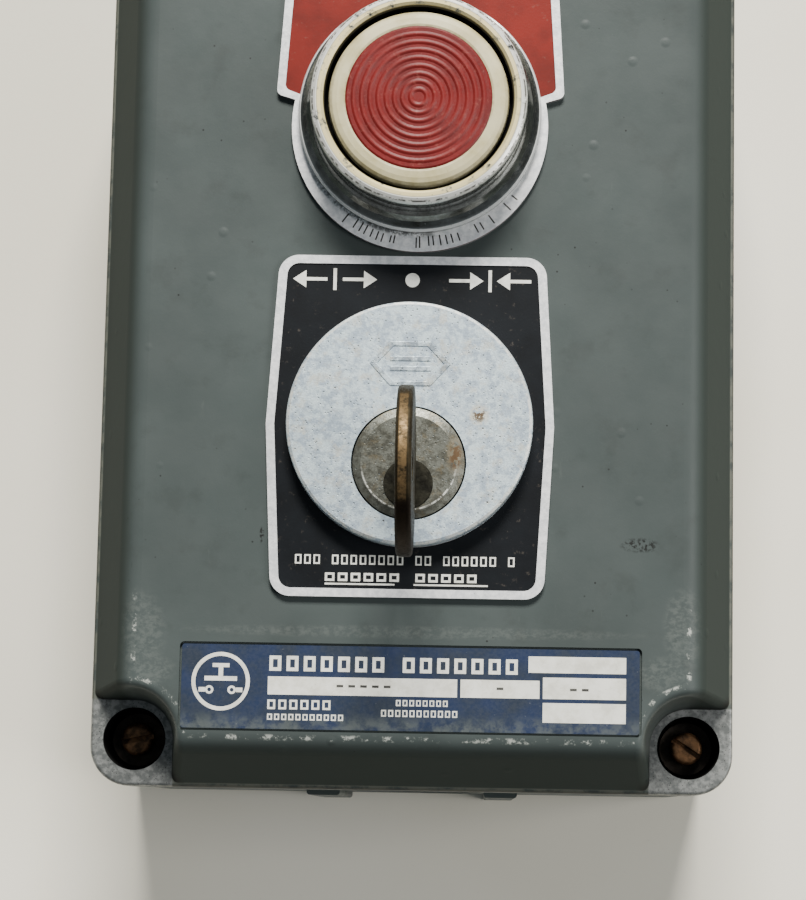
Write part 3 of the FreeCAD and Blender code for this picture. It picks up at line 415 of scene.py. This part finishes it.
def chrome():
    """Plated ring with a brassy, chipped lip, painted highlights on the lip and the flange edge, a painted
    dark reflection in its waist and painted shade in its bore.
    """
    f = Finish("chrome_worn", metal=1.0)
    r = f.radius(STOP_C)
    color = f.mix(f.patch(0.35, 0.7, 7, 4, 0.5, (1, 1, 0.5)), CHROME_LIGHT, CHROME_DARK)
    # painted dark reflection on the bell wall of the waist
    color = f.tint(color, WAIST_DARK_REFLECTION, f.step(r, 21.6, 21.2), f.step(r, 18.9, 19.3),
                   f.step(f.z, RING_HI.z - 1.6 * MM, RING_HI.z - 3.2 * MM),
                   f.blend(f.patch(0.36, 0.66, 2.4, 5, 0.65, (1, 1, 2)), 0.35, 0.7))
    # brassy inner half of the lip and a painted highlight on its outer half, with dark chips between them
    top = f.step(f.z, RING_HI.z - 1.1 * MM, RING_HI.z - 0.6 * MM)
    brassy = f.times(top, f.step(r, 18.35, 18.0), f.patch(0.30, 0.46, 2.4, 6, 0.7, shift=2.5))
    lip_highlight = f.times(top, f.step(r, 18.0, 18.35), f.patch(0.28, 0.44, 3.1, 5, 0.7, shift=5.5))
    color = f.mix(lip_highlight, color, LIP_HIGHLIGHT)
    color = f.mix(brassy, color, LIP_BRASSY)
    seam = f.times(top, f.near(r, 18.95, 0.2, 0.06), f.patch(0.44, 0.54, 1.1, 5, 0.7, shift=1.5))
    color = f.tint(color, SEAM_DARK, seam, 0.9)
    # painted highlight on the flange edge
    edge = f.times(f.step(r, 21.55, 21.75), f.step(f.z, RING_LO.z + 1.2 * MM, RING_LO.z + 1.7 * MM))
    color = f.mix(edge, color, FLANGE_HIGHLIGHT)
    # painted shade in the bore of the ring
    inside_shade = f.step(r, 17.1, 16.9)
    color = f.mix(inside_shade, color, RING_BORE_SHADE)
    pits = f.times(f.dots(0.16, 0.08, 0.9), f.patch(0.48, 0.6, 5, 3, shift=3.5))
    color = f.tint(color, CHROME_PIT, pits, 0.6)
    fine = f.noise(0.5, 4, 0.6)
    dull = f.most(brassy, f.times(lip_highlight, 0.8), pits, inside_shade, f.times(edge, 0.6))
    rough = f.blend(dull, f.grainy(fine, 0.14, 0.24), 0.42)
    metal = f.blend(f.most(brassy, lip_highlight, edge, inside_shade), 1.0, 0.45)
    return f.finish(color, rough, metal, f.bump(fine, 0.012, 0.6))


def legend(name, field, field_dark, centre):
    """Enamelled field with a raised bare border."""
    f = Finish(name, specular=0.3)
    enamelled = f.mix(f.patch(0.35, 0.7, 9, 5, 0.6), field, field_dark)
    enamelled = f.tint(enamelled, LEGEND_DUST, f.patch(0.6, 0.75, 1.4, 5, 0.7, shift=2.0), 0.25)
    enamelled = f.tint(enamelled, LEGEND_CHIP, f.dots(0.07, 0.04, 2.1), f.patch(0.52, 0.62, 9, 3), 0.7)
    bare = f.mix(f.patch(0.35, 0.65, 1.4, 5, 0.65), BORDER_DARK, BORDER_LIGHT)
    bare = f.mix(f.patch(0.64, 0.72, 0.5, 4, 0.7, shift=1.0, to=0.5), bare, CHIP_AND_SHADE_DARK)
    # painted shade on the side walls of the plate
    side = f.step(f.z, PLATE_TOP - 0.3 * MM, PLATE_TOP - 0.6 * MM)
    bare = f.tint(bare, BORDER_SIDE_SHADE, side, 0.5)
    # painted shadow of the operator on the lower lobe of the border, mostly on its left
    r = f.radius(centre)
    bare = f.tint(bare, OPERATOR_SHADOW, f.step(r, 22.9, 22.3), f.step(r, 21.4, 21.9),
                  f.patch(0.42, 0.56, 0.8, 5, 0.7, shift=3.0),
                  f.step(f.y, centre.y - 9 * MM, centre.y - 14 * MM), f.step(f.x, 6 * MM, 0.0), 0.75)
    top = f.step(f.z, PLATE_TOP - 0.12 * MM, PLATE_TOP - 0.05 * MM)
    outer = f.most(top, side)
    fine = f.noise(0.4, 4, 0.6)
    rough = f.blend(top, 0.36, f.grainy(fine, 0.34, 0.5))
    return f.finish(f.mix(outer, enamelled, bare), rough, f.times(outer, 0.35), f.bump(fine, 0.02, 0.6))


def pitted(name, tones, stain, stain_size, halo_tone, metal=0.85, rim=None):
    """Satin plate in light, dark and warm tones, blotched and finely pitted, with one dark stain.

    A rim with a painted highlight is given as its centre, its radius and half width in millimetres,
    and a height over its centre, in metres, above which it has no highlight.
    """
    light, dark, warm = tones
    f = Finish(name, metal=metal)
    color = f.mix(f.patch(0.40, 0.58, 1.7, 6, 0.75), dark, light)
    color = f.mix(f.patch(0.52, 0.66, 3.0, 6, 0.7, shift=9.0, to=0.6), color, warm)
    color = f.mix(f.patch(0.53, 0.68, 0.45, 5, 0.7, shift=4.0, to=0.5), color, dark)
    pits = f.times(f.dots(0.22, 0.14, 0.8), f.patch(0.42, 0.52, 3, 4, 0.7, shift=2.0))
    color = f.tint(color, PIT_GREY, pits, 0.85)
    big = f.times(f.dots(0.11, 0.07, 1.9), f.patch(0.46, 0.56, 6, 3, shift=5.0))
    color = f.tint(color, PIT_BROWN, big, 0.9)
    if rim:
        centre, rim_r, half_width, highlight_to = rim
        # painted highlight on the rim
        color = f.tint(color, RIM_HIGHLIGHT, f.near(f.radius(centre), rim_r, half_width, half_width * 0.4),
                       f.patch(0.40, 0.56, 1.2, 5, 0.7, shift=3.0),
                       f.step(f.y, centre.y + highlight_to, centre.y + highlight_to - 4 * MM), 0.8)
    halo = f.times(f.around(*stain, stain_size[0] * 1.5, stain_size[1] * 1.4),
                   f.patch(0.4, 0.5, 0.9, 4, 0.7))
    color = f.tint(color, halo_tone, halo, 0.6)
    rust = f.times(f.around(*stain, *stain_size), f.patch(0.44, 0.50, 1.1, 5, 0.7, shift=6.0))
    color = f.tint(color, STAIN_BROWN, rust, 0.95)
    fine = f.noise(0.3, 4, 0.65)
    height = f.calc("SUBTRACT", fine, f.times(f.most(pits, big), 0.8))
    rough = f.blend(rust, f.grainy(fine, 0.36, 0.52), 0.85)
    return f.finish(color, rough, f.blend(f.most(rust, halo), metal, 0.1), f.bump(height, 0.04, 0.8))


def key_metal():
    """Aged brass: a painted highlight along the rim of the bow, dark flats and painted shade on the lower
    end.
    """
    f = Finish("key_brass_aged", metal=0.85)
    from_mid = f.calc("MULTIPLY", f.length(f.calc("SUBTRACT", f.y, PLUG_C.y),
                                           f.calc("SUBTRACT", f.z, BOW_C.z)), 1 / MM)
    # painted highlight along the rim of the bow
    lit_strip = f.times(f.step(from_mid, 14.2, 14.5), f.near(f.x, PLUG_C.x - 0.15 * MM, 0.85 * MM, 0.6 * MM),
                    f.patch(0.32, 0.58, 1.1, 5, 0.75),
                    f.step(f.y, PLUG_C.y + 12.4 * MM, PLUG_C.y + 11.4 * MM))
    color = f.mix(f.patch(0.36, 0.66, 4, 5, 0.65), KEY_DARK, KEY_LIGHT)
    color = f.mix(lit_strip, color, KEY_EDGE_HIGHLIGHT)
    # painted shade on the lower end of the bow
    low = f.step(f.y, PLUG_C.y - 6.0 * MM, PLUG_C.y - 7.2 * MM)
    color = f.tint(color, KEY_LOW_SHADE, low, 0.96)
    fine = f.noise(0.5, 4, 0.65)
    return f.finish(color, f.grainy(fine, 0.45, 0.65), normal=f.bump(fine, 0.03, 0.7))


def ivory():
    """Aged ivory plastic with painted shade at its outer edge and beside the insert."""
    f = Finish("ivory_aged", specular=0.4)
    color = f.mix(f.patch(0.35, 0.7, 6, 4, 0.6), IVORY_LIGHT, IVORY_DARK)
    r = f.radius(STOP_C)
    # painted shade at the outer edge and beside the insert
    edge = f.most(f.step(r, 15.0, 16.2), f.step(r, 13.6, 13.1))
    color = f.tint(color, IVORY_EDGE_SHADE, edge, f.patch(0.35, 0.65, 1.2, 5, 0.7), 0.55)
    color = f.tint(color, IVORY_SPECK, f.dots(0.13, 0.07, 1.1), f.patch(0.5, 0.62, 4, 3, shift=2.0), 0.55)
    fine = f.noise(0.4, 4, 0.6)
    return f.finish(color, f.grainy(fine, 0.42, 0.56), normal=f.bump(fine, 0.015, 0.6))


def insert_red():
    """Satin red plastic with painted highlights on the ridges and a little dust."""
    f = Finish("insert_red", specular=0.3)
    color = f.mix(f.patch(0.35, 0.68, 5, 5, 0.6), INSERT_RED, INSERT_DARK)
    # painted highlight on the ridge tops
    color = f.tint(color, INSERT_RIDGE_HIGHLIGHT, f.step(f.z, RIDGE_Z, RIDGE_Z + 0.1 * MM), 0.45)
    color = f.tint(color, INSERT_DUST, f.patch(0.55, 0.72, 1.0, 5, 0.7, shift=1.0), 0.22)
    fine = f.noise(0.3, 4, 0.6)
    return f.finish(color, f.grainy(fine, 0.34, 0.48), normal=f.bump(fine, 0.02, 0.6))


def name_blue():
    """Printed blue face with dirt towards the lower edge and rubbed spots."""
    f = Finish("nameplate_blue", specular=0.45)
    color = f.mix(f.patch(0.35, 0.68, 8, 5, 0.6), NAME_BLUE, NAME_DIRTY)
    low = f.step(f.y, NAME_LO.y + 3.5 * MM, NAME_LO.y + 0.5 * MM)
    color = f.tint(color, NAME_LOW, low, f.patch(0.35, 0.6, 2.4, 5, 0.7), 0.55)
    color = f.tint(color, NAME_RUBBED, f.patch(0.66, 0.74, 0.8, 5, 0.7, shift=3.0), 0.7)
    fine = f.noise(0.5, 4, 0.6)
    return f.finish(color, f.grainy(fine, 0.36, 0.5), normal=f.bump(fine, 0.015, 0.6))


def print_white(name, light, dark, share):
    """Aged print, rubbed through in places by the given share."""
    f = Finish(name, specular=0.35)
    color = f.mix(f.patch(0.35, 0.7, 3.0, 5, 0.65), light, dark)
    color = f.mix(f.patch(0.60, 0.70, 0.6, 5, 0.7, shift=2.0, to=share), color, PRINT_RUBBED)
    return f.finish(color, 0.5, normal=f.bump(f.noise(0.4, 4, 0.6), 0.01, 0.5))


def floor_pale():
    """Pale floor with a few faint flecks."""
    f = Finish("floor_pale", rough=0.8, specular=0.2)
    color = f.mix(f.patch(0.3, 0.7, 90, 3, 0.5), FLOOR_A, FLOOR_B)
    color = f.mix(f.patch(0.64, 0.78, 1.2, 4, 0.6, to=0.12), color, FLOOR_FLECK)
    return f.finish(color, normal=f.bump(f.noise(1.5, 4, 0.6), 0.05, 0.5))


def dress():
    """Gives every CAD node its procedural material."""
    zinc = mottled("zinc_plate", srgb(176, 176, 168), srgb(120, 120, 112), (0.3, 0.5), 0.9,
                   spots=srgb(90, 80, 60))
    cast = mottled("cast_alloy", srgb(160, 162, 158), srgb(110, 112, 110), (0.45, 0.62), 0.8, 1.2, 0.05)
    brass = mottled("brass_plain", srgb(190, 156, 92), srgb(140, 108, 60), (0.28, 0.45), 0.95,
                    spots=srgb(80, 60, 36))
    copper = mottled("contact_copper", srgb(190, 120, 84), srgb(140, 82, 58), (0.3, 0.45), 0.95)
    steel = mottled("spring_steel", srgb(150, 150, 148), srgb(100, 100, 98), (0.25, 0.4), 0.95, 0.4)
    rubber = mottled("seal_rubber", srgb(34, 34, 32), srgb(22, 22, 21), (0.7, 0.85), grain_mm=0.8,
                     grain_deep=0.04)
    black = mottled("black_moulding", srgb(38, 38, 38), srgb(26, 26, 27), (0.4, 0.55), grain_mm=0.5)
    brown = mottled("block_moulding", srgb(66, 44, 34), srgb(48, 32, 25), (0.35, 0.5), grain_mm=0.7,
                    spots=srgb(96, 72, 56), spot_mm=1.6)
    rusty = mottled("screw_tarnished", srgb(150, 112, 78), srgb(72, 54, 38), (0.4, 0.65), 0.7, 0.9, 0.08,
                    spots=srgb(40, 28, 20), cloud_mm=2.2)
    dark = mottled("washer_black", srgb(66, 56, 46), srgb(40, 34, 28), (0.6, 0.8), 0.3, 0.8, 0.05)
    plug = mottled("plug_dark_brass", srgb(50, 49, 40), srgb(28, 27, 22), (0.4, 0.6), 0.8, 0.8, 0.05,
                   spots=srgb(24, 20, 16), cloud_mm=2.5)
    rose = pitted("rose_satin", (srgb(210, 227, 233), srgb(168, 184, 198), srgb(206, 204, 190)),
                  (11.5, -22.6), (1.2, 1.3), STAIN_HALO, 0.45, (ROSE_C, 21.65, 0.4, WHOLE_RIM))
    cylinder = pitted("cylinder_satin", (srgb(116, 118, 110), srgb(84, 84, 76), srgb(112, 100, 74)),
                      (7.4, -30.0), (1.1, 2.4), STAIN_DULL, 0.7, (CYL_C, 8.45, 0.22, 0.0))
    looks = (
        (enamel(), ["cover", "base_housing"]),
        (rubber, ["cover_gasket", "stop_seal", "lock_seal"]),
        (rusty, ["cover_screws"]),
        (dark, ["cover_washers"]),
        (zinc, ["conduit_plug", "stop_block_screws", "lock_nut", "lock_cam", "cam_screw",
                "key_block_screws"]),
        (brass, ["ground_screw", "stop_terminal_screws", "driver_pins", "key_pins", "key_terminal_screws",
                 "block_posts"]),
        (name_blue(), ["nameplate"]),
        (legend("legend_red_enamel", LEGEND_RED, LEGEND_RED_DARK, STOP_C), ["stop_legend_plate"]),
        (legend("legend_black_enamel", LEGEND_BLACK, LEGEND_BLACK_DARK, ROSE_C), ["key_legend_plate"]),
        (chrome(), ["ring_nut"]),
        (cast, ["stop_bushing", "lock_casing"]),
        (steel, ["stop_return_spring", "contact_spring", "pin_springs"]),
        (brown, ["stop_block", "key_block"]),
        (copper, ["stop_fixed_contacts", "contact_bridge", "slide_bridges", "key_fixed_contacts"]),
        (ivory(), ["button_shell"]),
        (insert_red(), ["button_insert"]),
        (black, ["button_stem", "contact_carrier", "contact_slide"]),
        (rose, ["lock_rose"]),
        (cylinder, ["lock_cylinder"]),
        (plug, ["lock_plug"]),
        (key_metal(), ["key"]),
    )
    for material, names in looks:
        for name in names:
            mesh = NODES[name].data
            if not mesh.materials:
                mesh.materials.append(material)
            for index in range(len(mesh.materials)):
                mesh.materials[index] = material


def relief(name, loops, z0, z1, material, bevel_mm=0.0):
    """Thin raised piece on the front, between two heights.

    Each loop is an outline in millimetres, or a pair of an outer and an inner one.
    """
    mesh = bpy.data.meshes.new(name)
    bm = bmesh.new()
    for loop in loops:
        rings = loop if isinstance(loop, tuple) else (loop,)
        low = [[bm.verts.new((x * MM, y * MM, z0)) for x, y in ring] for ring in rings]
        high = [[bm.verts.new((x * MM, y * MM, z1)) for x, y in ring] for ring in rings]
        for a, b in zip(low, high):
            for i in range(len(a)):
                j = (i + 1) % len(a)
                bm.faces.new((a[i], a[j], b[j], b[i]))
        for level in (low, high):
            if len(rings) == 1:
                bm.faces.new(level[0])
                continue
            outer, inner = level
            for i in range(len(outer)):
                j = (i + 1) % len(outer)
                bm.faces.new((outer[i], outer[j], inner[j], inner[i]))
    bmesh.ops.recalc_face_normals(bm, faces=bm.faces)
    bmesh.ops.triangulate(bm, faces=[face for face in bm.faces if len(face.verts) > 4])
    bm.to_mesh(mesh)
    bm.free()
    piece = bpy.data.objects.new(name, mesh)
    bpy.context.scene.collection.objects.link(piece)
    mesh.materials.append(material)
    if bevel_mm:
        bevel = piece.modifiers.new("soft_edge", "BEVEL")
        bevel.width = bevel_mm * MM
        bevel.segments = 2
    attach(piece, "station")
    return piece


def bar(x0, x1, y0, y1):
    return [(x0, y0), (x1, y0), (x1, y1), (x0, y1)]


def disc(cx, cy, r, n=28):
    turns = [2 * math.pi * k / n for k in range(n)]
    return [(cx + r * math.cos(turn), cy + r * math.sin(turn)) for turn in turns]


def band(cx, cy, r0, r1, n):
    """Ring between two radii."""
    return disc(cx, cy, r1, n), disc(cx, cy, r0, n)


def words(x0, x1, y0, y1, letter, gap, stroke, spaces=()):
    """Row of plain upright frames that stands for a line of print, with wider gaps at the given places."""
    loops = []
    x = x0
    k = 0
    while x + letter <= x1 + 1e-6:
        if k not in spaces:
            loops.append((bar(x, x + letter, y0, y1),
                          bar(x + stroke, x + letter - stroke, y0 + stroke, y1 - stroke)))
        x += letter + gap
        k += 1
    return loops


def arrow(x, y, way):
    """Head and shaft of a plain arrow whose tip is at x and which points right (1) or left (-1)."""
    head_long, whole_long, half_head, half_shaft = 2.4, 6.2, 1.6, 0.3
    head = x - way * head_long
    tail = x - way * whole_long
    return [[(head, y - half_head), (x, y), (head, y + half_head)],
            bar(*sorted((head, tail)), y - half_shaft, y + half_shaft)]


def key_plate_print():
    """Door arrows, a dot, two rows of plain frames and two underlines."""
    cx, cy = ROSE_C.x / MM, ROSE_C.y / MM
    white = print_white("print_white_legend", srgb(242, 242, 234), srgb(206, 206, 198), 0.3)
    top = cy + 26.6
    loops = []
    # left sign: arrows apart from the door's line; right sign: arrows towards it
    for side, tip_off, outward in ((-1, 7.6, 1), (1, 1.2, -1)):
        mid = cx + side * 14.0
        loops.append(bar(mid - 0.3, mid + 0.3, top - 2.0, top + 2.0))
        for hand in (-1, 1):
            loops += arrow(mid + hand * tip_off, top, hand * outward)
    loops.append(disc(cx, top, 1.3))
    row = cy - 24.3
    loops += words(cx - 20.0, cx + 20.3, row - 0.85, row + 0.85, 1.15, 0.5, 0.27, (3, 12, 15, 22))
    row = cy - 27.4
    loops += words(cx - 14.6, cx + 14.6, row - 0.75, row + 0.75, 1.7, 0.6, 0.4, (6,))
    loops.append(bar(cx - 14.6, cx - 2.2, row - 1.4, row - 1.1))
    loops.append(bar(cx + 1.2, cx + 14.4, row - 1.4, row - 1.1))
    relief("legend_print_key", loops, FIELD_Z - SINK, FIELD_Z + RISE, white)


def stop_plate_print():
    """Plain bar above the ring and stamped ticks on the lower lobe."""
    cx, cy = STOP_C.x / MM, STOP_C.y / MM
    white = print_white("print_white_stop", srgb(244, 242, 232), srgb(214, 210, 198), 0.25)
    relief("legend_print_stop", [bar(cx - 3.4, cx + 3.4, cy + 26.0, cy + 32.8)],
           FIELD_Z - SINK, FIELD_Z + RISE, white)
    dark = mottled("stamp_dark", srgb(52, 48, 44), srgb(30, 28, 26), (0.5, 0.7))
    lobe_y = cy - 1.7
    # two ticks in each span of 4 degrees; ticks that would touch the ring are left out
    spans = (-62, -56, -50, -44, -38, -74, -80, -86, -92, -104, -110, -116, -122, -128)
    half = 0.13
    loops = []
    for k, start in enumerate(spans):
        for j in range(2):
            turn = math.radians(start + 4 * (0.2 + 0.6 * j) + 0.5 * math.sin(7.3 * k + 2 * j))
            c, s = math.cos(turn), math.sin(turn)
            inner = 21.0 + 0.25 * math.sin(5.1 * k + j)
            outer = 22.75 - 0.2 * math.sin(3.7 * k)
            loops.append([(cx + r * c - edge * s, lobe_y + r * s + edge * c)
                          for r, edge in ((inner, half), (outer, half), (outer, -half), (inner, -half))])
    keep = [loop for loop in loops if min(math.hypot(x - cx, y - cy) for x, y in loop) > 22.2]
    relief("stamped_ticks", keep, PLATE_TOP - SINK, PLATE_TOP + 0.02 * MM, dark)


def nameplate_print():
    """Blank fields, plain frames and a contact symbol on the nameplate."""
    left, top = NAME_LO.x / MM, NAME_HI.y / MM
    z0, z1 = NAME_HI.z - SINK, NAME_HI.z + RISE
    white = print_white("print_white_name", srgb(242, 242, 234), srgb(210, 210, 200), 0.3)
    field = print_white("field_pale", srgb(240, 240, 231), srgb(212, 211, 200), 0.22)

    def at(u0, u1, v0, v1):
        """Bar given by its distances from the plate's left and upper edges."""
        return bar(left + u0, left + u1, top - v1, top - v0)

    # each row: its distances as in at(), then letter width, gap and stroke
    rows = ((15.6, 36.6, 1.9, 4.6, 2.1, 0.95, 0.62), (39.3, 60.3, 1.9, 4.6, 2.1, 0.95, 0.62),
            (15.4, 27.6, 9.7, 11.4, 1.4, 0.56, 0.36), (15.4, 29.5, 12.2, 13.3, 0.9, 0.36, 0.24),
            (38.2, 47.6, 9.4, 10.5, 0.85, 0.34, 0.24), (35.6, 50.2, 11.2, 12.4, 0.9, 0.36, 0.24))
    loops = []
    for u0, u1, v0, v1, letter, gap, stroke in rows:
        loops += words(left + u0, left + u1, top - v1, top - v0, letter, gap, stroke)
    relief("name_print", loops, z0, z1, white)
    fields = [at(61.6, 78.9, 1.3, 4.2), at(15.4, 49.0, 5.6, 8.8), at(49.6, 63.6, 5.6, 8.8),
              at(64.2, 78.9, 5.0, 8.8), at(64.2, 78.9, 9.5, 13.0)]
    relief("name_fields", fields, z0, z1, field)
    mx, my = left + 7.0, top - 6.6
    symbol = [band(mx, my, 4.5, 5.2, 48), bar(mx - 3.9, mx - 2.75, my - 1.9, my - 1.1),
              bar(mx + 2.75, mx + 3.9, my - 1.9, my - 1.1), bar(mx - 2.9, mx + 2.9, my + 0.1, my + 0.9),
              bar(mx - 0.4, mx + 0.4, my + 0.9, my + 2.5), bar(mx - 1.5, mx + 1.5, my + 2.5, my + 3.2)]
    symbol += [band(mx + side * 2.0, my - 1.5, 0.35, 0.75, 18) for side in (-1, 1)]
    relief("name_symbol", symbol, z0, z1, white)
    ink = mottled("stamp_ink", srgb(70, 70, 66), srgb(46, 46, 44), (0.5, 0.7))
    ticks = [at(u0 + 2.1 * k, u0 + 2.1 * k + 1.2, 6.9, 7.35)
             for u0, count in ((27.6, 5), (56.0, 1), (69.0, 2)) for k in range(count)]
    relief("name_ticks", ticks, z1 - 0.01 * MM, z1 + 0.015 * MM, ink)


def rose_relief():
    """Plain raised six-sided frame with two short bars on the rose."""
    cx, cy = ROSE_C.x / MM, ROSE_C.y / MM + 10.6
    half_wide, half_tall = 7.2, 4.6
    # its stain lies off the piece, so none shows
    metal = pitted("rose_relief_satin", (srgb(206, 222, 229), srgb(140, 152, 162), srgb(196, 194, 180)),
                   (60, 0), (1, 1), STAIN_HALO, 0.5)
    turns = [math.radians(60 * k) for k in range(6)]
    outer = [(cx + half_wide * math.cos(turn), cy + half_tall * math.sin(turn)) for turn in turns]
    inner = [(cx + (x - cx) * 0.84, cy + (y - cy) * 0.80) for x, y in outer]
    loops = [[outer[k], outer[(k + 1) % 6], inner[(k + 1) % 6], inner[k]] for k in range(6)]
    loops += [bar(cx - 3.6, cx + 3.6, cy + 0.5, cy + 1.3), bar(cx - 3.6, cx + 3.6, cy - 1.3, cy - 0.5)]
    relief("rose_emblem_plain", loops, ROSE_HI.z - 0.1 * MM, ROSE_HI.z + 0.14 * MM, metal, 0.05)


def camera():
    """The photograph's view of the front: fitted place, turn, lens and shift."""
    data = bpy.data.cameras.new("camera")
    data.sensor_width = CAM_SENSOR
    data.lens = CAM_LENS
    data.shift_x, data.shift_y = CAM_SHIFT
    data.clip_start, data.clip_end = CAM_RANGE
    eye = bpy.data.objects.new("camera", data)
    bpy.context.scene.collection.objects.link(eye)
    eye.location = CAM_PLACE
    eye.rotation_euler = CAM_TURN
    bpy.context.scene.camera = eye


def studio():
    """Pale floor, soft light from above the object's top end, a dim fill and a faint sky."""
    bpy.ops.mesh.primitive_plane_add(size=FLOOR_SIZE, location=(0, 0, 0))
    floor = bpy.context.object
    floor.name = "floor"
    floor.data.materials.append(floor_pale())
    world = bpy.data.worlds.new("studio")
    bpy.context.scene.world = world
    world.use_nodes = True
    back = world.node_tree.nodes["Background"]
    back.inputs["Color"].default_value = SKY_COLOR
    back.inputs["Strength"].default_value = SKY_STRENGTH
    for name, place, size, power, color in LAMPS:
        data = bpy.data.lights.new(name, "AREA")
        data.shape = "RECTANGLE"
        data.size, data.size_y = size
        data.energy = power
        data.color = color
        lamp = bpy.data.objects.new(name, data)
        bpy.context.scene.collection.objects.link(lamp)
        lamp.location = place
        lamp.rotation_euler = (Vector(LIT_POINT) - Vector(place)).to_track_quat("-Z", "Y").to_euler()


dress()
key_plate_print()
stop_plate_print()
nameplate_print()
rose_relief()
studio()
camera()
